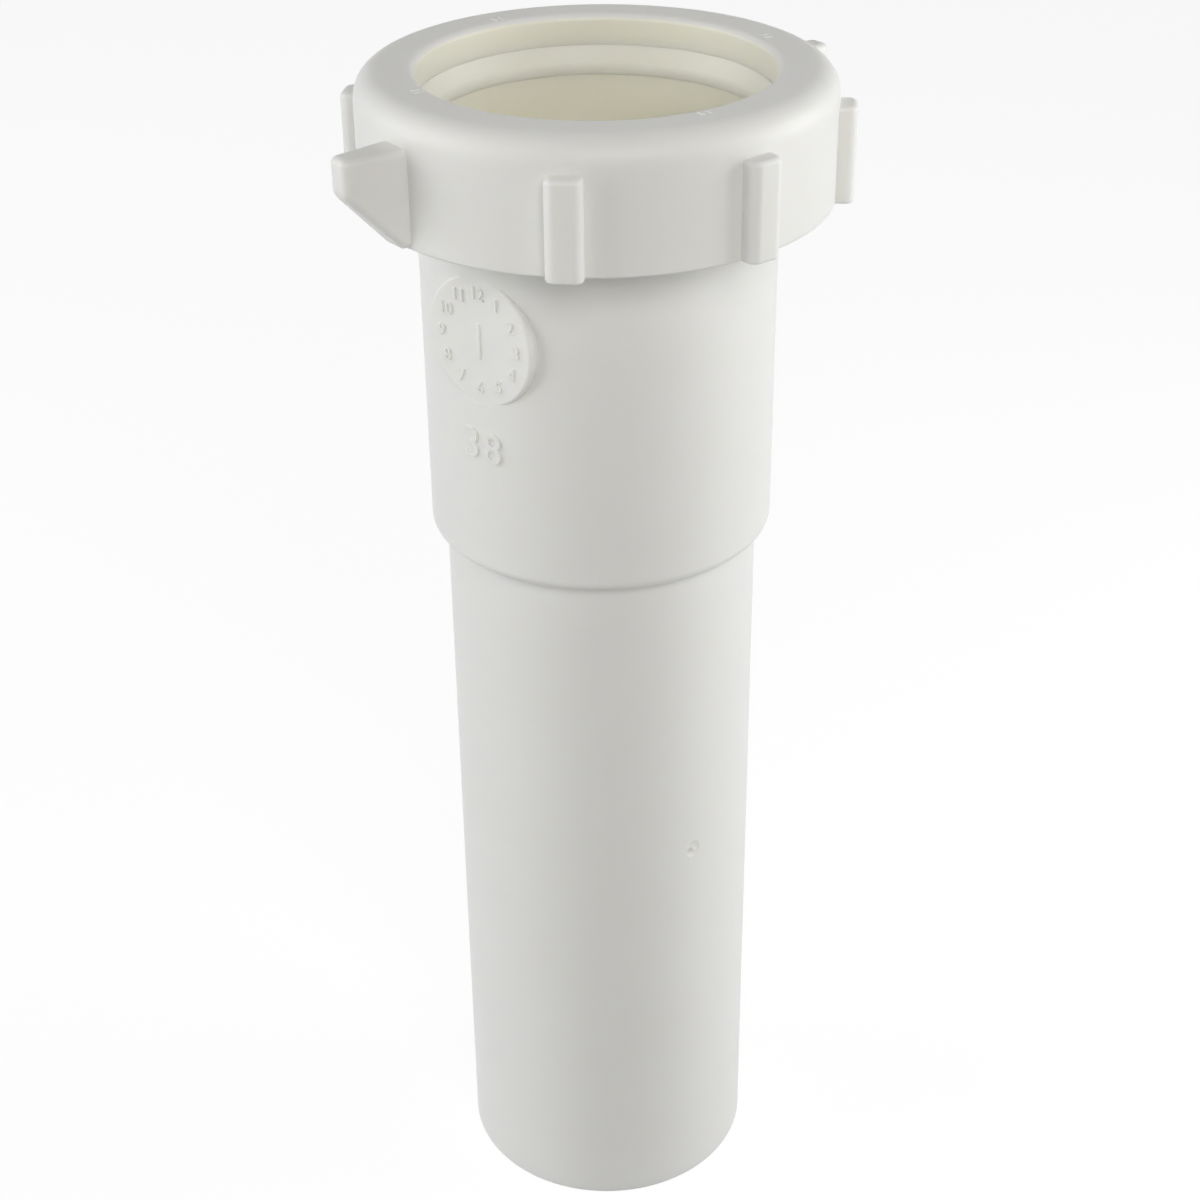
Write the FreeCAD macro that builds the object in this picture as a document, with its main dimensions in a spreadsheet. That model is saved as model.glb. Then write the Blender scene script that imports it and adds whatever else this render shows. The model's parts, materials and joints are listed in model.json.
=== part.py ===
import FreeCAD, Part
import os
import Sketcher

# Slip-joint extension tube, 1 1/2 in nominal: a plastic tube that is plain at its lower end and
# belled at its upper end, a winged slip nut on the bell's threaded collar, and the tapered washer
# that the nut presses into the bell's mouth. Millimetres, +Z up, the plain end on Z = 0.

doc = FreeCAD.newDocument("SlipJointExtension")
sheet = doc.addObject("Spreadsheet::Sheet", "Sizes")

# Driving sizes. Clearances are measured on the radius, and the mark's angle from +X in degrees.
SIZES = (
    ("pipe_diameter", 38.1),       # outside of the plain end, and of the pipe that the bell takes
    ("pipe_wall", 1.7),
    ("spigot_length", 97.3),       # plain end to shoulder
    ("spigot_bevel", 0.5),         # outer edge of the plain end
    ("socket_clearance", 0.25),    # pipe in the bell
    ("bell_wall", 1.55),
    ("bell_length", 50.2),         # shoulder to mouth
    ("shoulder_bevel", 1.0),
    ("stop_thickness", 2.0),       # floor of the bell, where the pipe that it takes ends
    ("collar_wall", 2.9),          # bell's bore to the root of the thread
    ("collar_length", 9.4),
    ("collar_bevel", 0.7),
    ("mouth_lip", 0.8),            # flat rim round the washer's seat
    ("mark_radius", 7.7),          # round flat pad on the bell
    ("mark_gap", 2.0),             # pad below the collar
    ("mark_angle", 192.0),
    ("mark_rise", 0.1),            # pad above the bell at its own middle
    ("thread_depth", 1.1),
    ("thread_clearance", 0.2),     # crest to root
    ("washer_clearance", 0.15),    # pipe in the washer
    ("washer_rim", 1.2),           # straight edge above the taper
    ("washer_tip", 0.8),           # flat lower end of the taper
    ("washer_seat_gap", 0.3),      # taper to seat, square to both
    ("nut_height", 15.0),
    ("nut_wall", 3.7),             # root of the thread to the outside
    ("nut_flange", 3.8),
    ("nut_hole_clearance", 1.2),   # pipe in the nut's hole
    ("nut_crown_round", 3.3),
    ("nut_foot_bevel", 0.3),
    ("nut_hole_bevel", 0.6),
    ("nut_lead_in", 0.8),
    ("lug_drop", 0.5),             # ribs and wings below the crown's round
    ("lug_width", 3.4),
    ("rib_reach", 1.95),
    ("rib_round", 1.0),
    ("rib_bevel", 0.8),            # upper end of each rib
    ("wing_reach", 7.2),
    ("wing_tip", 4.1),             # upright end of the wing
    ("wing_round", 0.8),
)
for row, (alias, number) in enumerate(SIZES, 1):
    sheet.set(f"A{row}", alias.replace("_", " "))
    sheet.set(f"B{row}", str(number))
    sheet.setAlias(f"B{row}", alias)
doc.recompute()

RIBS_EACH_SIDE = 3
LUG_SPACING = 180 / (RIBS_EACH_SIDE + 1)

# Radii and heights of the tube, from the driving sizes.
PIPE = "(Sizes.pipe_diameter / 2)"
BORE = f"({PIPE} - Sizes.pipe_wall)"
SOCKET = f"({PIPE} + Sizes.socket_clearance)"
BELL = f"({SOCKET} + Sizes.bell_wall)"
COLLAR = f"({SOCKET} + Sizes.collar_wall)"
SEAT_TOP = f"({COLLAR} - Sizes.mouth_lip)"
SHOULDER_Z = "Sizes.spigot_length"
STOP_Z = f"({SHOULDER_Z} + Sizes.stop_thickness)"
MOUTH_Z = f"({SHOULDER_Z} + Sizes.bell_length)"
COLLAR_Z = f"({MOUTH_Z} - Sizes.collar_length)"
RAMP_Z = f"({COLLAR_Z} - {COLLAR} + {BELL})"
SEAT_Z = f"({MOUTH_Z} - {SEAT_TOP} + {SOCKET})"
MARK_Z = f"({RAMP_Z} - Sizes.mark_radius - Sizes.mark_gap)"

# The washer's taper and its seat slope at 45 degrees, so a gap square to them is longer upwards.
WASHER_BORE = f"({PIPE} + Sizes.washer_clearance)"
WASHER_TIP = f"({WASHER_BORE} + Sizes.washer_tip)"
TAPER_HEIGHT = f"({COLLAR} - {WASHER_TIP})"
WASHER_HEIGHT = f"({TAPER_HEIGHT} + Sizes.washer_rim)"
WASHER_Z = f"({MOUTH_Z} + Sizes.washer_seat_gap * sqrt(2) + Sizes.mouth_lip - {TAPER_HEIGHT})"

# The nut's flange lies on the washer, and its ribs and wings are rooted inside its wall.
NUT_BORE = f"({COLLAR} + Sizes.thread_depth + Sizes.thread_clearance)"
NUT_RADIUS = f"({NUT_BORE} + Sizes.nut_wall)"
NUT_HOLE = f"({PIPE} + Sizes.nut_hole_clearance)"
FLANGE_Z = "(Sizes.nut_height - Sizes.nut_flange)"
NUT_Z = f"({WASHER_Z} + {WASHER_HEIGHT} - {FLANGE_Z})"
LUG_ROOT = f"({NUT_RADIUS} - 2 * Sizes.nut_foot_bevel)"
LUG_TOP = "(Sizes.nut_height - Sizes.nut_crown_round - Sizes.lug_drop)"
RIB_RADIUS = f"({NUT_RADIUS} + Sizes.rib_reach)"
WING_RADIUS = f"({NUT_RADIUS} + Sizes.wing_reach)"

# Rounds and bevels, each limited by the wall that it is on.
SHOULDER_BEVEL = f"min(Sizes.shoulder_bevel; 0.9 * ({BELL} - {PIPE}))"
SPIGOT_BEVEL = "min(Sizes.spigot_bevel; 0.6 * Sizes.pipe_wall)"
COLLAR_BEVEL = "min(Sizes.collar_bevel; 0.9 * Sizes.mouth_lip)"
RIB_ROUND = "min(Sizes.rib_round; 0.4 * Sizes.lug_width; 0.65 * Sizes.rib_reach)"
RIB_BEVEL = f"min(Sizes.rib_bevel; 0.8 * {RIB_ROUND})"
WING_ROUND = "min(Sizes.wing_round; 0.4 * Sizes.lug_width; 0.4 * Sizes.wing_tip)"
LEAD_IN = "min(Sizes.nut_lead_in; 0.6 * Sizes.nut_wall)"

TOLERANCE = 1e-4


def value(expression):
    return float(sheet.evalExpression(expression))


def from_origin(body, role):
    """One of the body's own origin planes or axes."""
    return next(item for item in body.Origin.OriginFeatures if item.Role == role)


def new_body(label):
    body = doc.addObject("PartDesign::Body", label)
    body.Label = label
    return body


def new_sketch(body, name, role, turn="0"):
    """A sketch on one of the body's origin planes, turned about Z by an angle in degrees."""
    upright = {"XY_Plane": FreeCAD.Vector(0, 0, 1), "XZ_Plane": FreeCAD.Vector(0, 1, 0)}[role]
    sketch = body.newObject("Sketcher::SketchObject", name)
    sketch.AttachmentSupport = [(from_origin(body, role), "")]
    sketch.MapMode = "FlatFace"
    sketch.AttachmentOffset = FreeCAD.Placement(FreeCAD.Vector(), FreeCAD.Rotation(upright, 1))
    sketch.setExpression("AttachmentOffset.Rotation.Angle", turn)
    return sketch


def bind(sketch, constraint, expression):
    index = sketch.addConstraint(constraint)
    sketch.setExpression(f"Constraints[{index}]", expression)


def place_point(sketch, edge, end, across, up):
    """Dimensions a sketch point from the sketch's origin; a plain "0" puts it on that axis."""
    if across == "0":
        sketch.addConstraint(Sketcher.Constraint("PointOnObject", edge, end, -2))
    else:
        bind(sketch, Sketcher.Constraint("DistanceX", -1, 1, edge, end, value(across)), across)
    if up == "0":
        sketch.addConstraint(Sketcher.Constraint("PointOnObject", edge, end, -1))
    else:
        bind(sketch, Sketcher.Constraint("DistanceY", -1, 1, edge, end, value(up)), up)


def outline(sketch, corners):
    """Draws a closed outline of straight lines through corners given as pairs of expressions."""
    points = [FreeCAD.Vector(value(across), value(up), 0) for across, up in corners]
    for start, stop in zip(points, points[1:] + points[:1]):
        sketch.addGeometry(Part.LineSegment(start, stop))
    for edge in range(len(points)):
        sketch.addConstraint(Sketcher.Constraint("Coincident", edge, 2, (edge + 1) % len(points), 1))
    for edge, (across, up) in enumerate(corners):
        place_point(sketch, edge, 1, across, up)


def turned(body, kind, name, corners):
    """A Revolution or a Groove, all the way round Z, of an outline given as radii and heights."""
    sketch = new_sketch(body, f"{name}Outline", "XZ_Plane")
    outline(sketch, corners)
    feature = body.newObject(f"PartDesign::{kind}", name)
    feature.Profile = sketch
    feature.ReferenceAxis = (sketch, ["V_Axis"])
    feature.Angle = 360
    doc.recompute()
    return feature


def raised(body, name, sketch, length, both_ways=False):
    """A Pad, to one side of its sketch or half to each side."""
    pad = body.newObject("PartDesign::Pad", name)
    pad.Profile = sketch
    pad.Midplane = both_ways
    pad.setExpression("Length", length)
    doc.recompute()
    return pad


def round_z(body, name, original, count, angle):
    """Copies of a feature, spread evenly over an angle about Z."""
    pattern = body.newObject("PartDesign::PolarPattern", name)
    pattern.Originals = [original]
    pattern.Axis = (from_origin(body, "Z_Axis"), [""])
    pattern.Occurrences = count
    pattern.Angle = angle
    body.Tip = pattern
    doc.recompute()
    return pattern


def dressed(body, kind, name, feature, edges, size):
    """A Fillet or a Chamfer on the named edges of a feature."""
    dress = body.newObject(f"PartDesign::{kind}", name)
    dress.Base = (feature, edges)
    dress.setExpression({"Fillet": "Radius", "Chamfer": "Size"}[kind], size)
    doc.recompute()
    return dress


def ring_edges(feature, radius, height):
    """Names of the circles about Z that have this radius and height."""
    centre = FreeCAD.Vector(0, 0, value(height))
    names = []
    for number, edge in enumerate(feature.Shape.Edges, 1):
        if edge.Degenerated or not isinstance(edge.Curve, Part.Circle):
            continue
        same_radius = abs(edge.Curve.Radius - value(radius)) < TOLERANCE
        if same_radius and edge.Curve.Center.distanceToPoint(centre) < TOLERANCE:
            names.append(f"Edge{number}")
    return names


def lug_edges(feature, group):
    """Names of the edges outside the nut's wall and above its foot, on "rib sides", "rib tops" or "wings"."""
    names = []
    for number, edge in enumerate(feature.Shape.Edges, 1):
        if edge.Degenerated:
            continue
        middle = edge.valueAt((edge.FirstParameter + edge.LastParameter) / 2)
        reach = FreeCAD.Vector(middle.x, middle.y, 0).Length
        outside = reach > value(NUT_RADIUS) + TOLERANCE and middle.z > TOLERANCE
        on_top = middle.z > value(LUG_TOP) - TOLERANCE
        on_wing = abs(middle.y) < value("Sizes.lug_width")
        if outside and group == ("wings" if on_wing else "rib tops" if on_top else "rib sides"):
            names.append(f"Edge{number}")
    return names


# Tube: the outside is turned, the flat pad stands on the bell, and the waterway is cut through both.
def make_tube():
    body = new_body("extension_tube")
    outside = turned(body, "Revolution", "Outside", (
        ("0", "0"),
        (PIPE, "0"),
        (PIPE, SHOULDER_Z),
        (BELL, SHOULDER_Z),
        (BELL, RAMP_Z),
        (COLLAR, COLLAR_Z),
        (COLLAR, MOUTH_Z),
        ("0", MOUTH_Z),
    ))
    shoulder_edge = ring_edges(outside, BELL, SHOULDER_Z)
    shoulder = dressed(body, "Chamfer", "ShoulderBevel", outside, shoulder_edge, SHOULDER_BEVEL)
    spigot_edge = ring_edges(shoulder, PIPE, "0")
    spigot = dressed(body, "Chamfer", "SpigotBevel", shoulder, spigot_edge, SPIGOT_BEVEL)
    collar_edge = ring_edges(spigot, COLLAR, MOUTH_Z)
    dressed(body, "Chamfer", "CollarBevel", spigot, collar_edge, COLLAR_BEVEL)

    # The pad's sketch faces -Y before it is turned.
    mark_outline = new_sketch(body, "MarkOutline", "XZ_Plane", "Sizes.mark_angle + 90")
    middle = FreeCAD.Vector(0, value(MARK_Z), 0)
    radius = "Sizes.mark_radius"
    mark_outline.addGeometry(Part.Circle(middle, FreeCAD.Vector(0, 0, 1), value(radius)))
    place_point(mark_outline, 0, 3, "0", MARK_Z)
    bind(mark_outline, Sketcher.Constraint("Radius", 0, value(radius)), radius)
    raised(body, "Mark", mark_outline, f"{BELL} + Sizes.mark_rise")

    turned(body, "Groove", "Waterway", (
        ("0", "0"),
        (BORE, "0"),
        (BORE, STOP_Z),
        (SOCKET, STOP_Z),
        (SOCKET, SEAT_Z),
        (SEAT_TOP, MOUTH_Z),
        ("0", MOUTH_Z),
    ))
    return body


# Washer: flat on top, with a straight rim and a taper that points down into the mouth.
def make_washer():
    body = new_body("slip_washer")
    turned(body, "Revolution", "Section", (
        (WASHER_BORE, "0"),
        (WASHER_TIP, "0"),
        (COLLAR, TAPER_HEIGHT),
        (COLLAR, WASHER_HEIGHT),
        (WASHER_BORE, WASHER_HEIGHT),
    ))
    body.setExpression("Placement.Base.z", WASHER_Z)
    return body


# Nut: a crowned ring with grip ribs on each side between two opposite wings, then bored.
def make_nut():
    body = new_body("slip_nut")
    ring = turned(body, "Revolution", "Ring", (
        ("0", "0"),
        (NUT_RADIUS, "0"),
        (NUT_RADIUS, "Sizes.nut_height"),
        ("0", "Sizes.nut_height"),
    ))
    crown_edge = ring_edges(ring, NUT_RADIUS, "Sizes.nut_height")
    crown = dressed(body, "Fillet", "CrownRound", ring, crown_edge, "Sizes.nut_crown_round")
    foot_edge = ring_edges(crown, NUT_RADIUS, "0")
    dressed(body, "Chamfer", "FootBevel", crown, foot_edge, "Sizes.nut_foot_bevel")

    for side, side_angle in (("Back", 0), ("Front", 180)):
        rib_outline = new_sketch(body, f"{side}RibOutline", "XY_Plane", str(side_angle + LUG_SPACING))
        outline(rib_outline, (
            (LUG_ROOT, "-Sizes.lug_width / 2"),
            (RIB_RADIUS, "-Sizes.lug_width / 2"),
            (RIB_RADIUS, "Sizes.lug_width / 2"),
            (LUG_ROOT, "Sizes.lug_width / 2"),
        ))
        rib = raised(body, f"{side}Rib", rib_outline, LUG_TOP)
        round_z(body, f"{side}Ribs", rib, RIBS_EACH_SIDE, (RIBS_EACH_SIDE - 1) * LUG_SPACING)

    wing_outline = new_sketch(body, "WingOutline", "XZ_Plane")
    outline(wing_outline, (
        (LUG_ROOT, "0"),
        (WING_RADIUS, f"{LUG_TOP} - Sizes.wing_tip"),
        (WING_RADIUS, LUG_TOP),
        (LUG_ROOT, LUG_TOP),
    ))
    wing = raised(body, "Wing", wing_outline, "Sizes.lug_width", both_ways=True)
    lugs = round_z(body, "Wings", wing, 2, 360)
    wings = dressed(body, "Fillet", "WingRounds", lugs, lug_edges(lugs, "wings"), WING_ROUND)
    ribs = dressed(body, "Fillet", "RibRounds", wings, lug_edges(wings, "rib sides"), RIB_ROUND)
    dressed(body, "Chamfer", "RibBevels", ribs, lug_edges(ribs, "rib tops"), RIB_BEVEL)

    inside = turned(body, "Groove", "Inside", (
        ("0", "0"),
        (NUT_BORE, "0"),
        (NUT_BORE, FLANGE_Z),
        (NUT_HOLE, FLANGE_Z),
        (NUT_HOLE, "Sizes.nut_height"),
        ("0", "Sizes.nut_height"),
    ))
    lead_in = dressed(body, "Chamfer", "LeadIn", inside, ring_edges(inside, NUT_BORE, "0"), LEAD_IN)
    hole_edge = ring_edges(lead_in, NUT_HOLE, "Sizes.nut_height")
    dressed(body, "Chamfer", "HoleBevel", lead_in, hole_edge, "Sizes.nut_hole_bevel")
    body.setExpression("Placement.Base.z", NUT_Z)
    return body


bodies = [make_tube(), make_washer(), make_nut()]
doc.recompute()

for item in doc.Objects:
    if "Invalid" in item.State or "Error" in item.State:
        raise RuntimeError(f"{item.Label} did not build: {item.State}")
for body in bodies:
    if body.Shape.isNull() or not body.Shape.isValid() or len(body.Shape.Solids) != 1:
        raise RuntimeError(f"{body.Label} is not one valid solid")

os.makedirs("parts", exist_ok=True)
for body in bodies:
    body.Shape.exportStep(f"parts/{body.Label}.step")
    print(f"{body.Label}: {body.Shape.Volume / 1000:.2f} cm3")
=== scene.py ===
import json
import math

import bmesh
import bpy
from mathutils import Matrix, Vector


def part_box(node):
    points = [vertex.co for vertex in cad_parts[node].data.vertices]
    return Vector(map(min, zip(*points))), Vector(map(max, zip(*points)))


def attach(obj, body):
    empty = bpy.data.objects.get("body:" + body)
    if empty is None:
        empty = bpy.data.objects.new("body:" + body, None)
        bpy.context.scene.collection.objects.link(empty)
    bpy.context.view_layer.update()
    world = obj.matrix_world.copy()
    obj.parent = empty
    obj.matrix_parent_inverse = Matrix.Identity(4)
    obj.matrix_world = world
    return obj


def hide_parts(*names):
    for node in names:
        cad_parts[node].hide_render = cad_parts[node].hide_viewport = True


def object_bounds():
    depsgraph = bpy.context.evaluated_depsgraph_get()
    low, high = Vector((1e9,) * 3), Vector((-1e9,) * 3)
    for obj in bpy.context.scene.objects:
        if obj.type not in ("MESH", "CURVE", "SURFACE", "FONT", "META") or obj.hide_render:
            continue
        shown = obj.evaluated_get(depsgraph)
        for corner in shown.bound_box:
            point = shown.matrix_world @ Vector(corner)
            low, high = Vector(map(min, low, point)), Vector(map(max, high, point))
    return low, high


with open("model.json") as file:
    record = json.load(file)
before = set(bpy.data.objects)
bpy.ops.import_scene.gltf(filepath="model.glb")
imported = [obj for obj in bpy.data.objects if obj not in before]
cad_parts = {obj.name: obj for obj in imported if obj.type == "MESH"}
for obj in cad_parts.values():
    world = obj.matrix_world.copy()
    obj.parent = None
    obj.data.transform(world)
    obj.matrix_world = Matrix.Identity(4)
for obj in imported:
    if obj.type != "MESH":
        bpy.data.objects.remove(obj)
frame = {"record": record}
cadBox = [[float(side) for side in corner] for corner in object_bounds()]
mm = 0.001
hair = 0.002 * mm        # anything closer than this is the same place
print("frame loaded, box", cadBox)

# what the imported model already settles
tubeLow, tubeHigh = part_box("extension_tube")
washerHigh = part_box("slip_washer")[1]
nutLow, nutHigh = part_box("slip_nut")
mounts = {mount["name"]: mount for mount in frame["record"]["mounts"]}
threadPitch = frame["record"]["behaviour"]["couplings"][0]["ratio"] * 2 * math.pi


def clearPick():
    if bpy.context.mode != "OBJECT":
        bpy.ops.object.mode_set(mode="OBJECT")
    bpy.ops.object.select_all(action="DESELECT")


def grab(piece):
    clearPick()
    piece.select_set(True)
    bpy.context.view_layer.objects.active = piece


def outward(angle):
    return Vector((math.cos(math.radians(angle)), math.sin(math.radians(angle)), 0))


def roundOutline(corners, arcStep=9):
    # corners are (radius, height, rounding); each rounding becomes an arc
    points = []
    for place, (radius, height, bend) in enumerate(corners):
        corner = Vector((radius, height))
        if bend == 0:
            points.append(corner)
            continue
        back = (Vector(corners[place - 1][:2]) - corner).normalized()
        ahead = (Vector(corners[(place + 1) % len(corners)][:2]) - corner).normalized()
        half = back.angle(ahead) / 2
        middle = corner + (back + ahead).normalized() * bend / math.sin(half)
        spoke = corner + back * bend / math.tan(half) - middle
        sweep = math.copysign(math.pi - 2 * half, ahead.cross(back))
        count = max(2, round(abs(math.degrees(sweep)) / arcStep))
        for step in range(count + 1):
            points.append(middle + Matrix.Rotation(sweep * step / count, 2) @ spoke)
    return points


def traceOutline(name, points, angle=0):
    # one vertex pulled round the section, corner by corner
    clearPick()
    bpy.ops.mesh.primitive_plane_add(size=mm)
    piece = bpy.context.object
    piece.name = name
    piece.data.name = name
    bpy.ops.object.mode_set(mode="EDIT")
    bpy.ops.mesh.select_mode(type="VERT")
    bpy.ops.mesh.select_all(action="SELECT")
    bpy.ops.mesh.merge(type="CENTER")
    spots = [outward(angle) * radius + Vector((0, 0, height)) for radius, height in points]
    bpy.ops.transform.translate(value=spots[0])
    for start, stop in zip(spots, spots[1:] + spots[:1]):
        bpy.ops.mesh.extrude_region_move(TRANSFORM_OT_translate={"value": stop - start})
    tidyMesh()
    return piece


def tidyMesh():
    bpy.ops.mesh.select_all(action="SELECT")
    bpy.ops.mesh.remove_doubles(threshold=hair)
    bpy.ops.mesh.normals_make_consistent(inside=False)


def spinOutline(steps):
    # the whole way round the axis
    bpy.ops.mesh.spin(steps=steps, angle=-2 * math.pi, center=(0, 0, 0), axis=(0, 0, 1))
    tidyMesh()


def pick(piece, kind, rule):
    bpy.ops.mesh.select_mode(type=kind)
    bpy.ops.mesh.select_all(action="DESELECT")
    shape = bmesh.from_edit_mesh(piece.data)
    parts = {"VERT": shape.verts, "EDGE": shape.edges}[kind]
    for part in [part for part in parts if rule(part)]:
        part.select_set(True)
    bmesh.update_edit_mesh(piece.data)


def soften(offset, segments):
    bpy.ops.mesh.bevel(
        offset=offset, segments=segments, profile=0.5, affect="EDGES", clamp_overlap=False)


def fuse(piece, tool, operation="UNION"):
    grab(piece)
    join = piece.modifiers.new("join", "BOOLEAN")
    join.operation = operation
    join.solver = "EXACT"
    join.object = tool
    bpy.ops.object.modifier_apply(modifier=join.name)
    bpy.data.objects.remove(tool, do_unlink=True)


def gather(pieces):
    grab(pieces[0])
    for piece in pieces:
        piece.select_set(True)
    bpy.ops.object.join()
    return bpy.context.object


def smoothOff(piece, angle=32):
    grab(piece)
    bpy.ops.object.mode_set(mode="EDIT")
    tidyMesh()
    bpy.ops.object.mode_set(mode="OBJECT")
    bpy.ops.object.shade_smooth_by_angle(angle=math.radians(angle))
    weighted = piece.modifiers.new("weighted", "WEIGHTED_NORMAL")
    weighted.keep_sharp = True
    bpy.ops.object.modifier_apply(modifier=weighted.name)


# both threads have one form; the sinks are shares of bury, and runOut is in turns
threadForm = {
    "depth": 1.1 * mm,
    "base": 1.35 * mm,
    "tip": 0.4 * mm,
    "bury": 0.4 * mm,
    "footSink": 0.1,
    "endSink": 0.5,
    "runOut": 0.12,
    "stepsPerTurn": 120,
}


def threadRidge(name, ridge):
    # a tooth section swept up the axis, both ends sinking into the wall
    form = threadForm
    bury = -math.copysign(form["bury"], ridge["crest"] - ridge["root"])
    back = ridge["root"] + bury
    foot = ridge["root"] + form["footSink"] * bury
    sunk = ridge["root"] + form["endSink"] * bury
    section = [
        (back, -form["base"] / 2),
        (foot, -form["base"] / 2),
        (ridge["crest"], -form["tip"] / 2),
        (ridge["crest"], form["tip"] / 2),
        (foot, form["base"] / 2),
        (back, form["base"] / 2),
    ]
    piece = traceOutline(name, [(radius, ridge["start"] + height) for radius, height in section])
    bpy.ops.object.mode_set(mode="OBJECT")
    sweep = piece.modifiers.new("sweep", "SCREW")
    sweep.axis = "Z"
    sweep.angle = ridge["turns"] * 2 * math.pi
    sweep.screw_offset = ridge["turns"] * threadPitch
    sweep.steps = sweep.render_steps = round(ridge["turns"] * form["stepsPerTurn"])
    grab(piece)
    bpy.ops.object.modifier_apply(modifier=sweep.name)
    for vertex in piece.data.vertices:
        spot = vertex.co
        turn = math.atan2(spot.y, spot.x) / (2 * math.pi)
        turn += round((spot.z - ridge["start"]) / threadPitch - turn)
        share = min(1, turn / form["runOut"], (ridge["turns"] - turn) / form["runOut"])
        radius = math.hypot(spot.x, spot.y)
        if abs(radius - back) > hair:
            scale = (sunk + (radius - sunk) * max(0, share)) / radius
            vertex.co = Vector((spot.x * scale, spot.y * scale, spot.z))
    bpy.ops.object.mode_set(mode="EDIT")
    bpy.ops.mesh.select_all(action="SELECT")
    bpy.ops.mesh.fill_holes(sides=0)
    tidyMesh()
    bpy.ops.object.mode_set(mode="OBJECT")
    return piece


def raisedMark(body, size, spot, angle, thickness, curveSteps=3):
    # a moulded numeral standing on an upright face that looks out at this angle
    clearPick()
    bpy.ops.object.text_add(location=spot, rotation=(math.pi / 2, 0, math.radians(angle + 90)))
    mark = bpy.context.object
    mark.data.body = body
    mark.data.size = size
    mark.data.extrude = thickness / 2
    mark.data.align_x = "CENTER"
    mark.data.align_y = "CENTER"
    mark.data.resolution_u = curveSteps
    bpy.ops.object.convert(target="MESH")
    bpy.ops.object.transform_apply(location=True, rotation=True, scale=True)
    bpy.ops.object.mode_set(mode="EDIT")
    tidyMesh()
    bpy.ops.object.mode_set(mode="OBJECT")
    return mark


def barBlock(spot, size, rotation, edgeShare=0.2, edgeSteps=2):
    clearPick()
    bpy.ops.mesh.primitive_cube_add(size=1, location=spot, rotation=rotation)
    bar = bpy.context.object
    bar.scale = size
    bpy.ops.object.transform_apply(location=True, rotation=True, scale=True)
    bpy.ops.object.mode_set(mode="EDIT")
    bpy.ops.mesh.select_all(action="SELECT")
    soften(min(size) * edgeShare, edgeSteps)
    tidyMesh()
    bpy.ops.object.mode_set(mode="OBJECT")
    return bar


# the tube: a plain pipe below, a belled socket with a threaded collar above
tube = {
    "steps": 240,
    "foot": tubeLow[2],
    "mouth": tubeHigh[2],
    "pipe": mounts["spigot"]["dims"]["r_mm"] * mm,
    "bore": mounts["spigot"]["dims"]["r_mm"] * mm - 1.7 * mm,
    "footRound": 0.5 * mm,
    "shoulder": mounts["spigot"]["pos_m"][2] + mounts["spigot"]["dims"]["length_mm"] * mm,
    "shoulderRound": 1.5 * mm,
    "socket": mounts["socket"]["dims"]["r_mm"] * mm,
    "bell": mounts["socket"]["dims"]["r_mm"] * mm + 1.55 * mm,
    "stop": mounts["socket"]["pos_m"][2] - mounts["socket"]["dims"]["length_mm"] * mm,
    "seat": mounts["socket"]["pos_m"][2] + 1.2 * mm,        # high, so that the joint looks closed
    "collar": washerHigh[0],
    "ramp": 136.75 * mm,
    "seatTop": 21.4 * mm,
    "mouthRound": 0.6 * mm,
    "breakEdge": 0.2 * mm,
}
tubeThread = {
    "root": tube["collar"],
    "crest": tube["collar"] + threadForm["depth"],
    "start": 138.9 * mm,
    "turns": 3.2,
}
markPad = {
    "angle": 192,
    "height": 127.05 * mm,
    "radius": 7.7 * mm,
    "face": 20.75 * mm,
    "edgeRound": 0.4 * mm,
    "edgeSteps": 4,
    "steps": 120,
    "depth": 4 * mm,
    "hollow": 20.1 * mm,        # keeps the pad's back within the bell's wall
    "hollowTall": 30.8 * mm,
    "dialRadius": 5.6 * mm,
    "dialSize": 2.1 * mm,
    "pointer": (0.5 * mm, 4.2 * mm),
    "proud": 0.22 * mm,
}
sizeMark = {
    "digits": "38",
    "size": 5.4 * mm,
    "angle": 192,
    "height": 114 * mm,
    "gap": 8.6,        # degrees from one digit to the next
    "proud": 0.25 * mm,
}
gate = {
    "angle": -91.7,
    "height": 56.6 * mm,
    "dimple": 1.3 * mm,
    "sink": 0.22 * mm,
    "ballSteps": (96, 64),
    "nib": 0.42 * mm,
    "nibTip": 0.252 * mm,
    "nibTall": 0.525 * mm,
    "nibSteps": 32,
}


def markDisc(near, far):
    # a disc across the pad's axis, between two distances from the tube's
    clearPick()
    bpy.ops.mesh.primitive_cylinder_add(
        vertices=markPad["steps"], radius=markPad["radius"], depth=far - near,
        location=outward(markPad["angle"]) * (near + far) / 2 + Vector((0, 0, markPad["height"])),
        rotation=(0, math.pi / 2, math.radians(markPad["angle"])))
    bpy.ops.object.transform_apply(location=True, rotation=True, scale=True)
    return bpy.context.object


def makeMarkPad():
    axis = outward(markPad["angle"])
    pad = markDisc(markPad["face"] - markPad["depth"], markPad["face"])
    bpy.ops.object.mode_set(mode="EDIT")
    front = markPad["face"] - hair
    pick(pad, "EDGE", lambda edge: all(vertex.co.dot(axis) > front for vertex in edge.verts))
    soften(markPad["edgeRound"], markPad["edgeSteps"])
    clearPick()
    bpy.ops.mesh.primitive_cylinder_add(
        vertices=tube["steps"], radius=markPad["hollow"], depth=markPad["hollowTall"],
        location=(0, 0, markPad["height"]))
    fuse(pad, bpy.context.object, "DIFFERENCE")
    return pad


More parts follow.
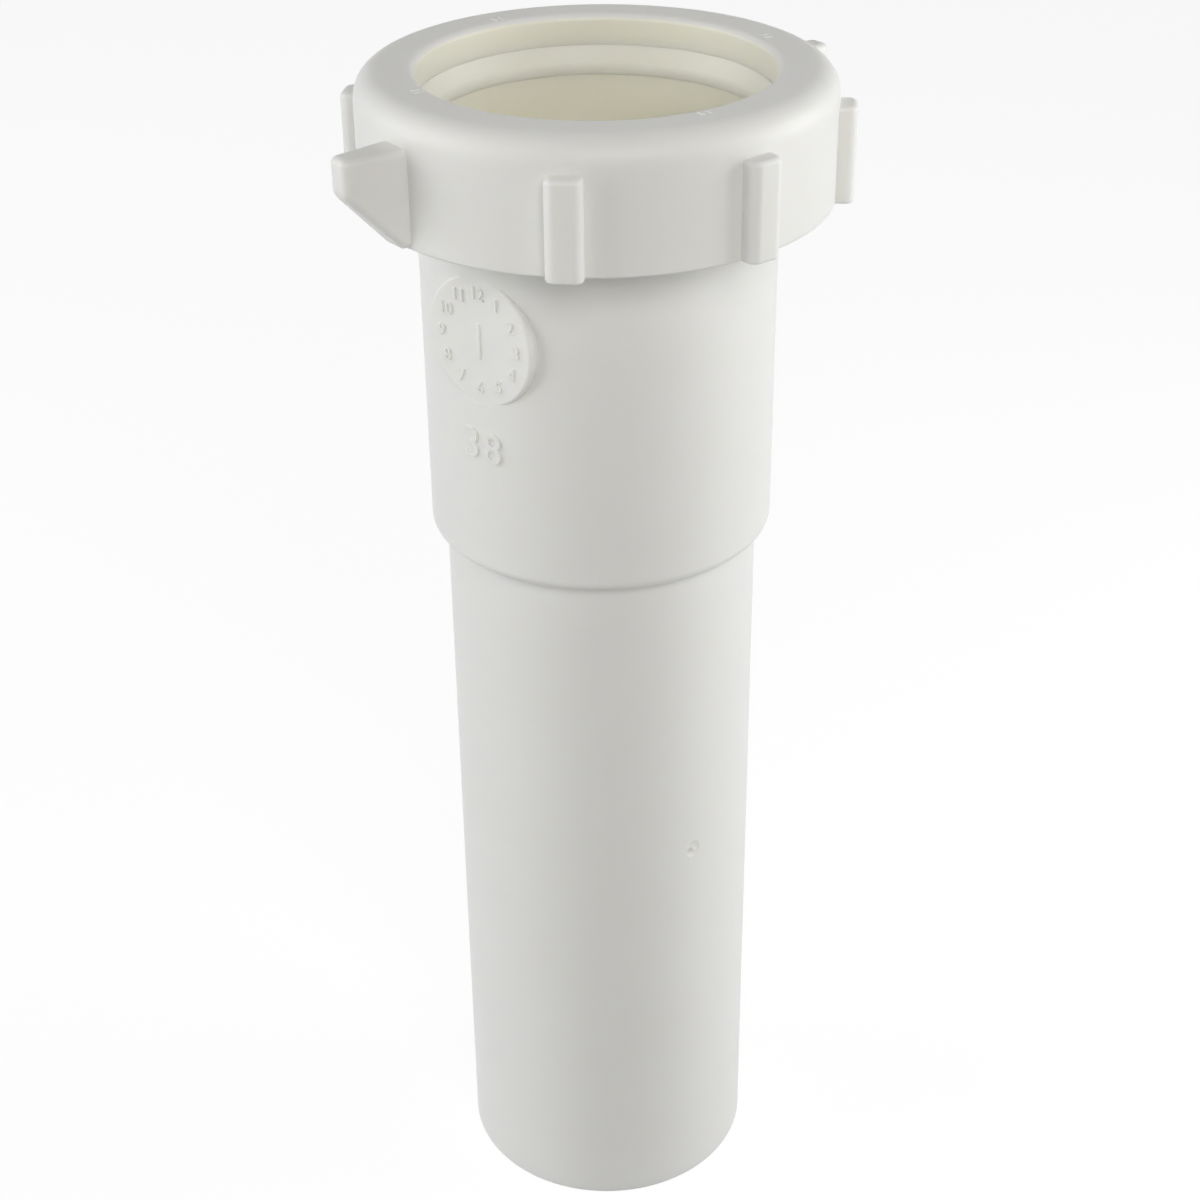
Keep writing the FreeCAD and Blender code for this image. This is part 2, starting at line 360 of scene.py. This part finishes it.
def makeDial():
    # twelve month numbers and a pointer, as on a moulder's date insert
    axis = outward(markPad["angle"])
    side = outward(markPad["angle"] + 90)
    centre = axis * markPad["face"] + Vector((0, 0, markPad["height"]))
    thickness = 2 * markPad["proud"]
    marks = []
    for month in range(1, 13):
        turn = math.radians(90 - 30 * month)
        spot = centre + (side * math.cos(turn) + Vector((0, 0, math.sin(turn)))) * markPad["dialRadius"]
        marks.append(raisedMark(str(month), markPad["dialSize"], spot, markPad["angle"], thickness))
    marks.append(barBlock(
        centre, (thickness, *markPad["pointer"]), (0, 0, math.radians(markPad["angle"]))))
    return gather(marks)


def makeSizeMark():
    digits = []
    middle = (len(sizeMark["digits"]) - 1) / 2
    for place, digit in enumerate(sizeMark["digits"]):
        angle = sizeMark["angle"] + (place - middle) * sizeMark["gap"]
        spot = outward(angle) * tube["bell"] + Vector((0, 0, sizeMark["height"]))
        digits.append(raisedMark(digit, sizeMark["size"], spot, angle, 2 * sizeMark["proud"]))
    return gather(digits)


def makeGate(piece):
    # a shallow dimple with the nib of the feed in it, half of the nib buried
    axis = outward(gate["angle"])
    level = Vector((0, 0, gate["height"]))
    segments, rings = gate["ballSteps"]
    ball = (gate["dimple"] ** 2 + gate["sink"] ** 2) / (2 * gate["sink"])
    clearPick()
    bpy.ops.mesh.primitive_uv_sphere_add(
        segments=segments, ring_count=rings, radius=ball,
        location=axis * (tube["pipe"] + ball - gate["sink"]) + level)
    fuse(piece, bpy.context.object, "DIFFERENCE")
    clearPick()
    bpy.ops.mesh.primitive_cone_add(
        vertices=gate["nibSteps"], radius1=gate["nib"], radius2=gate["nibTip"],
        depth=2 * gate["nibTall"],
        location=axis * (tube["pipe"] - gate["sink"]) + level,
        rotation=(0, math.pi / 2, math.radians(gate["angle"])))
    bpy.ops.object.transform_apply(location=True, rotation=True, scale=True)
    fuse(piece, bpy.context.object)


def makeTube():
    t = tube
    outline = roundOutline([
        (t["bore"], t["foot"], t["breakEdge"]),
        (t["pipe"], t["foot"], t["footRound"]),
        (t["pipe"], t["shoulder"], t["breakEdge"]),
        (t["bell"], t["shoulder"], t["shoulderRound"]),
        (t["bell"], t["ramp"], t["breakEdge"]),
        (t["collar"], t["ramp"] + t["collar"] - t["bell"], t["breakEdge"]),
        (t["collar"], t["mouth"], t["mouthRound"]),
        (t["seatTop"], t["mouth"], t["breakEdge"] / 2),
        (t["socket"], t["seat"], t["breakEdge"]),
        (t["socket"], t["stop"], t["breakEdge"]),
        (t["bore"], t["stop"], t["breakEdge"]),
    ])
    piece = traceOutline("tubeMoulding", outline)
    spinOutline(t["steps"])
    fuse(piece, markDisc(markPad["face"], markPad["face"] + markPad["depth"]), "DIFFERENCE")
    fuse(piece, makeMarkPad())
    fuse(piece, makeDial())
    fuse(piece, makeSizeMark())
    makeGate(piece)
    fuse(piece, threadRidge("tubeRidge", tubeThread))
    smoothOff(piece)
    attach(piece, "tube")
    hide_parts("extension_tube")
    print("tube moulded,", len(piece.data.polygons), "faces")
    return piece


# the washer: a cone below that seats in the bell's mouth
washer = {
    "steps": 200,
    "low": tube["seat"] + 0.03 * mm,        # just clear of its seat
    "high": washerHigh[2],
    "bore": 19.2 * mm,
    "tip": 19.28 * mm,
    "rim": washerHigh[0],
    "mouth": 20.1 * mm,
    "mouthDepth": 2.2 * mm,
    "mouthRound": 2 * mm,
    "cone": 1.25 * mm,
    "edge": 0.08 * mm,
}


def makeWasher():
    w = washer
    outline = roundOutline([
        (w["bore"], w["low"], w["edge"] / 2),
        (w["tip"], w["low"], w["edge"] / 2),
        (w["rim"], w["low"] + w["cone"], w["edge"] / 2),
        (w["rim"], w["high"], w["edge"]),
        (w["mouth"], w["high"], w["edge"]),
        (w["bore"], w["high"] - w["mouthDepth"], w["mouthRound"]),
    ], arcStep=18)
    piece = traceOutline("washerRing", outline)
    spinOutline(w["steps"])
    smoothOff(piece)
    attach(piece, "washer")
    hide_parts("slip_washer")
    print("washer turned,", len(piece.data.polygons), "faces")
    return piece


# the nut: a crowned ring with six grip ribs and two wings
nut = {
    "steps": 288,
    "foot": nutLow[2],
    "top": nutHigh[2] - 0.12 * mm,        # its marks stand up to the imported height
    "wall": 27.2 * mm,
    "bore": 23.5 * mm,
    "hole": 20.25 * mm,
    "underFlange": washerHigh[2],
    "seam": washerHigh[2] + 0.62 * mm,
    "seamStep": 0.04 * mm,
    "seamSpread": 0.1 * mm,
    "crown": 2.9 * mm,
    "holeRound": 0.9 * mm,
    "leadIn": 0.8 * mm,
    "footRound": 0.3 * mm,
    "footSteps": 3,
}
lug = {
    "count": 8,
    "root": nut["wall"] - 1.2 * mm,
    "low": nut["foot"] + 0.03 * mm,
    "top": washerHigh[2],
}
rib = {
    "width": 4.1 * mm,
    "reach": nutHigh[1],
    "sideRound": 1.1 * mm,
    "sideSteps": 6,
    "topRound": 0.6 * mm,
    "topSteps": 4,
}
wing = {
    "rootWidth": 4.6 * mm,
    "tipWidth": 2.9 * mm,
    "reach": nutHigh[0],
    "tipHeight": 4.1 * mm,
    "lift": 0.2 * mm,
    "toe": nut["wall"] + 0.6 * mm,
    "round": 0.8 * mm,
    "roundSteps": 5,
    "crease": 0.5,        # radians; flatter edges stay as they are
}
nutThread = {
    "root": nut["bore"],
    "crest": nut["bore"] - threadForm["depth"],
    "start": tubeThread["start"] + threadPitch / 2,
    "turns": 2.6,
}
nutMarks = {
    "angles": (84.6, 170, 263, 349),
    "gap": 2.4,        # degrees between the two bars of a pair
    "radius": 21.8 * mm,
    "size": (1.1 * mm, 0.4 * mm, 0.5 * mm),
}


def makeRib(angle):
    # a block set in the wall, its outer edges rounded
    out = outward(angle)
    middle = out * (lug["root"] + rib["reach"]) / 2 + Vector((0, 0, (lug["low"] + lug["top"]) / 2))
    clearPick()
    bpy.ops.mesh.primitive_cube_add(size=1, location=middle, rotation=(0, 0, math.radians(angle)))
    piece = bpy.context.object
    piece.scale = (rib["reach"] - lug["root"], rib["width"], lug["top"] - lug["low"])
    bpy.ops.object.transform_apply(location=True, rotation=True, scale=True)
    bpy.ops.object.mode_set(mode="EDIT")

    def rim(height):
        return lambda edge: (
            all(abs(vertex.co.z - height) < hair for vertex in edge.verts)
            and any(vertex.co.dot(out) > lug["root"] + hair for vertex in edge.verts))

    def uprightOutside(edge):
        start, stop = [vertex.co for vertex in edge.verts]
        outside = min(start.dot(out), stop.dot(out)) > rib["reach"] - hair
        return outside and abs(start.z - stop.z) > hair

    pick(piece, "EDGE", uprightOutside)
    soften(rib["sideRound"], rib["sideSteps"])
    pick(piece, "EDGE", rim(lug["top"]))
    soften(rib["topRound"], rib["topSteps"])
    pick(piece, "EDGE", rim(lug["low"]))
    soften(nut["footRound"], nut["footSteps"])
    bpy.ops.object.mode_set(mode="OBJECT")
    return piece


def makeWing(angle):
    # a plate that slants up below and narrows from the wall to its tip
    out = outward(angle)
    side = outward(angle + 90)
    low = nut["foot"] + wing["lift"]
    piece = traceOutline("wing", [
        (lug["root"], low),
        (wing["toe"], low),
        (wing["reach"], lug["top"] - wing["tipHeight"]),
        (wing["reach"], lug["top"]),
        (lug["root"], lug["top"]),
    ], angle)
    bpy.ops.mesh.edge_face_add()
    bpy.ops.transform.translate(value=side * -wing["tipWidth"] / 2)
    bpy.ops.mesh.extrude_region_move(TRANSFORM_OT_translate={"value": side * wing["tipWidth"]})
    tidyMesh()
    # both wings lie along X, so their width is along Y
    for station in (lug["root"], wing["toe"]):
        share = (wing["reach"] - station) / (wing["reach"] - nut["wall"])
        wider = 1 + share * (wing["rootWidth"] / wing["tipWidth"] - 1)
        pick(piece, "VERT", lambda vertex: abs(vertex.co.dot(out) - station) < hair)
        bpy.ops.transform.resize(value=(1, wider, 1), center_override=(0, 0, 0))

    def outerEdge(edge):
        near, far = sorted(vertex.co.dot(out) for vertex in edge.verts)
        runsOut = far - near > hair
        atTip = near > wing["reach"] - hair
        return (runsOut or atTip) and edge.calc_face_angle(0) > wing["crease"]

    pick(piece, "EDGE", outerEdge)
    soften(wing["round"], wing["roundSteps"])
    bpy.ops.object.mode_set(mode="OBJECT")
    return piece


def makeNut():
    n = nut
    outline = roundOutline([
        (n["bore"] + n["leadIn"], n["foot"], 0),
        (n["wall"], n["foot"], n["footRound"]),
        (n["wall"], n["seam"] - n["seamSpread"], 0),
        (n["wall"] - n["seamStep"], n["seam"] + n["seamSpread"], 0),
        (n["wall"] - n["seamStep"], n["top"], n["crown"]),
        (n["hole"], n["top"], n["holeRound"]),
        (n["hole"], n["underFlange"], 0),
        (n["bore"], n["underFlange"], n["footRound"]),
        (n["bore"], n["foot"] + n["leadIn"], 0),
    ])
    piece = traceOutline("nutMoulding", outline)
    spinOutline(n["steps"])
    lugs = []
    for turn in range(lug["count"]):
        make = makeWing if turn % (lug["count"] // 2) == 0 else makeRib
        lugs.append(make(360 / lug["count"] * turn))
    fuse(piece, gather(lugs))
    fuse(piece, threadRidge("nutRidge", nutThread))
    bars = []
    level = Vector((0, 0, nutHigh[2] - nutMarks["size"][2] / 2))
    for angle in nutMarks["angles"]:
        for side in (-0.5, 0.5):
            turn = angle + side * nutMarks["gap"]
            spot = outward(turn) * nutMarks["radius"] + level
            bars.append(barBlock(spot, nutMarks["size"], (0, 0, math.radians(turn))))
    fuse(piece, gather(bars))
    smoothOff(piece)
    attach(piece, "nut")
    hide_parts("slip_nut")
    print("nut moulded,", len(piece.data.polygons), "faces")
    return piece


class Wire:
    # a node's output; sums on it add Math nodes
    def __init__(self, tree, socket=None):
        self.tree = tree
        self.socket = socket

    def node(self, kind, settings=None, sockets=None, output=0):
        made = self.tree.nodes.new(kind)
        for key, value in (settings or {}).items():
            setattr(made, key, value)
        for key, value in (sockets or {}).items():
            if isinstance(value, Wire):
                self.tree.links.new(value.socket, made.inputs[key])
            else:
                made.inputs[key].default_value = value
        return Wire(self.tree, made.outputs[output])

    def feed(self, socket):
        self.tree.links.new(self.socket, socket)

    def other(self, output):
        return Wire(self.tree, self.socket.node.outputs[output])

    def tint(self, first, second):
        # the first colour where this is 0, the second where it is 1
        return self.node("ShaderNodeMix", {"data_type": "RGBA"}, {0: self, 6: first, 7: second}, 2)

    def reckon(self, operation, first, second):
        return self.node("ShaderNodeMath", {"operation": operation}, {0: first, 1: second})

    def __add__(self, value):
        return self.reckon("ADD", self, value)

    def __radd__(self, value):
        return self.reckon("ADD", value, self)

    def __sub__(self, value):
        return self.reckon("SUBTRACT", self, value)

    def __rsub__(self, value):
        return self.reckon("SUBTRACT", value, self)

    def __mul__(self, value):
        return self.reckon("MULTIPLY", self, value)

    def __rmul__(self, value):
        return self.reckon("MULTIPLY", value, self)

    def __pow__(self, value):
        return self.reckon("POWER", self, value)

    def __gt__(self, value):
        return self.reckon("GREATER_THAN", self, value)

    def __lt__(self, value):
        return self.reckon("LESS_THAN", self, value)


# white polypropylene; the inner walls get a creamier, brighter colour, painted warm light standing in
# for the light that comes through the walls and bounces inside
tubePlastic = {
    "name": "tubePlastic",
    "skin": (0.87, 0.867, 0.845, 1),
    "cloud": (0.845, 0.84, 0.81, 1),
    # inside: painted warm light on the inner walls, not the plastic's own colour
    "inside": (0.975, 0.945, 0.80, 1),
    "rough": 0.38,
    "glow": 0.45,
}
nutPlastic = {
    "name": "nutPlastic",
    "skin": (0.87, 0.867, 0.845, 1),
    "cloud": (0.845, 0.84, 0.81, 1),
    # inside: painted warm light on the inner walls, not the plastic's own colour
    "inside": (0.93, 0.91, 0.80, 1),
    "rough": 0.42,
    "glow": 0.45,
}
washerPlastic = {
    "name": "washerPlastic",
    "skin": (0.93, 0.915, 0.83, 1),
    "cloud": (0.91, 0.89, 0.80, 1),
    # inside: painted warm light on the inner walls, not the plastic's own colour
    "inside": (0.95, 0.93, 0.82, 1),
    "rough": 0.45,
    "glow": 0.45,
}


# what the three plastics share: the shader's own sockets, then noises with scales per metre
plasticBody = {
    "Subsurface Radius": (1, 0.92, 0.75),
    "Subsurface Scale": 2 * mm,
    "IOR": 1.49,
    "Specular IOR Level": 0.3,
}
plasticGrain = {
    "milk": {"Scale": 70, "Detail": 4, "Roughness": 0.55},
    "drag": {"Scale": 700, "Detail": 3},
    "dragStretch": (1, 1, 0.06),
    "grain": {"Scale": 1600, "Detail": 2},
    "milkRough": 0.1,
    "grainRough": 0.12,
    "dragHeight": 0.6,
    "grainHeight": 0.4,
    "bump": 0.12,
    "bumpDepth": 0.05 * mm,
}


def makePlastic(finish, paintedLightZone):
    material = bpy.data.materials.new(finish["name"])
    material.use_nodes = True
    tree = material.node_tree
    shader = tree.nodes["Principled BSDF"]
    shader.inputs["Subsurface Weight"].default_value = finish["glow"]
    for socket, value in plasticBody.items():
        shader.inputs[socket].default_value = value

    place = Wire(tree).node("ShaderNodeTexCoord", output="Object")
    x = place.node("ShaderNodeSeparateXYZ", sockets={0: place})
    y = x.other("Y")
    z = x.other("Z")
    radius = (x * x + y * y) ** 0.5
    # the inner walls, where the painted warm light goes
    inside = paintedLightZone(radius, z)

    g = plasticGrain
    stretched = place.node("ShaderNodeMapping", {}, {"Vector": place, "Scale": g["dragStretch"]})
    milk = place.node("ShaderNodeTexNoise", {}, {"Vector": place, **g["milk"]})
    drag = place.node("ShaderNodeTexNoise", {}, {"Vector": stretched, **g["drag"]})
    grain = place.node("ShaderNodeTexNoise", {}, {"Vector": place, **g["grain"]})
    outside = milk.tint(finish["skin"], finish["cloud"])
    # inner walls take the inside colour: painted warm light, brighter and yellower than the skin
    colour = inside.tint(outside, finish["inside"])
    colour.feed(shader.inputs["Base Color"])

    # a noise swings about 0.5
    rough = finish["rough"] + (milk - 0.5) * g["milkRough"] + (grain - 0.5) * g["grainRough"]
    rough.feed(shader.inputs["Roughness"])
    height = drag * g["dragHeight"] + grain * g["grainHeight"]
    bump = place.node(
        "ShaderNodeBump", {}, {"Strength": g["bump"], "Distance": g["bumpDepth"], "Height": height})
    bump.feed(shader.inputs["Normal"])
    return material


def dress(piece, material):
    piece.data.materials.clear()
    piece.data.materials.append(material)


tubePiece = makeTube()
washerPiece = makeWasher()
nutPiece = makeNut()

pipeMiddle = (tube["pipe"] + tube["bore"]) / 2
bellMiddle = (tube["bell"] + tube["socket"]) / 2
shoulderMiddle = (tube["shoulder"] + tube["stop"]) / 2
paintedLightMargin = 0.1 * mm        # the painted warm light of the inner walls goes this far past a hole's wall
# each piece's inner walls get painted warm light, not a colour of their own
dress(tubePiece, makePlastic(
    tubePlastic,
    lambda radius, z: radius < pipeMiddle + (z > shoulderMiddle) * (bellMiddle - pipeMiddle)))
dress(nutPiece, makePlastic(
    nutPlastic, lambda radius, z: radius < nut["hole"] + paintedLightMargin))
dress(washerPiece, makePlastic(
    washerPlastic, lambda radius, z: radius < washer["mouth"] + paintedLightMargin))
print("plastics mixed")

# camera where the photograph was taken from
view = {
    "away": 236.2 * mm,
    "height": 221.8 * mm,
    "around": 232.2,
    "turn": -37.73,
    "tilt": 59.83,
    "roll": -0.66,
    "lens": 64.38,
    "sensor": 36,
    "nearest": 10 * mm,
}


def makeCamera():
    camera = bpy.data.objects.new("camera", bpy.data.cameras.new("camera"))
    bpy.context.collection.objects.link(camera)
    camera.data.lens = view["lens"]
    camera.data.sensor_width = view["sensor"]
    camera.data.clip_start = view["nearest"]
    spot = outward(view["around"]) * view["away"] + Vector((0, 0, view["height"]))
    camera.matrix_world = (
        Matrix.Translation(spot)
        @ Matrix.Rotation(math.radians(view["turn"]), 4, "Z")
        @ Matrix.Rotation(math.radians(view["tilt"]), 4, "X")
        @ Matrix.Rotation(math.radians(view["roll"]), 4, "Z"))
    bpy.context.scene.camera = camera


# soft boxes at both sides, the right one near, and one above the camera
# their angles count from the camera, and their places and sizes are in metres
lamps = {
    "rightBox": {
        "around": 95, "away": 0.34, "height": 0.18,
        "size": 0.24, "power": 0.77, "tint": (0.98, 0.99, 1),
    },
    "leftBox": {
        "around": -85, "away": 0.62, "height": 0.25,
        "size": 0.55, "power": 2.8, "tint": (0.98, 0.99, 1),
    },
    "frontBox": {
        "around": 13, "away": 0.5, "height": 0.45,
        "size": 0.3, "power": 1.52, "tint": (1, 0.985, 0.95),
    },
}
aim = Vector((0, 0, 0.09))
surround = {"fill": 0.1, "white": 0.9}


def makeLamps():
    for name, lamp in lamps.items():
        clearPick()
        spot = outward(view["around"] + lamp["around"]) * lamp["away"] + Vector((0, 0, lamp["height"]))
        bpy.ops.object.light_add(type="AREA", location=spot)
        box = bpy.context.object
        box.name = name
        box.data.size = lamp["size"]
        box.data.energy = lamp["power"]
        box.data.color = lamp["tint"]
        box.rotation_euler = (aim - spot).to_track_quat("-Z", "Y").to_euler()


def seenDirectly(tree):
    path = Wire(tree).node("ShaderNodeLightPath", output="Is Camera Ray")
    seen = path + path.other("Is Glossy Ray") + path.other("Is Transmission Ray")
    return seen > 0.5


def makeSurround():
    world = bpy.data.worlds.new("studio")
    bpy.context.scene.world = world
    world.use_nodes = True
    tree = world.node_tree
    backdrop = tree.nodes["Background"]
    backdrop.inputs["Color"].default_value = (1, 1, 1, 1)
    strength = surround["fill"] + seenDirectly(tree) * (surround["white"] - surround["fill"])
    strength.feed(backdrop.inputs["Strength"])


floorPlan = {
    "size": 6,
    "drop": 0.05 * mm,        # keeps the floor off the foot
    "rough": 0.8,
    "paint": (0.5, 0.5, 0.5, 1),
    "seenPaint": (0.9, 0.9, 0.9, 1),
    "white": 0.85,
    "whiteStrength": 1.06,
}


def makeFloor():
    clearPick()
    bpy.ops.mesh.primitive_plane_add(
        size=floorPlan["size"], location=(0, 0, cadBox[0][2] - floorPlan["drop"]))
    floor = bpy.context.object
    floor.name = "floor"
    material = bpy.data.materials.new("floorPaint")
    material.use_nodes = True
    tree = material.node_tree
    shader = tree.nodes["Principled BSDF"]
    shader.inputs["Roughness"].default_value = floorPlan["rough"]
    seen = seenDirectly(tree)
    colour = seen.tint(floorPlan["paint"], floorPlan["seenPaint"])
    colour.feed(shader.inputs["Base Color"])
    glow = seen.node(
        "ShaderNodeEmission", {}, {"Color": (1, 1, 1, 1), "Strength": floorPlan["whiteStrength"]})
    share = seen * floorPlan["white"]
    paint = Wire(tree, shader.outputs["BSDF"])
    blend = share.node("ShaderNodeMixShader", {}, {0: share, 1: paint, 2: glow})
    blend.feed(tree.nodes["Material Output"].inputs["Surface"])
    dress(floor, material)


makeCamera()
makeLamps()
makeSurround()
makeFloor()
bpy.context.scene.view_settings.view_transform = "Standard"
print("camera, lamps and floor set")
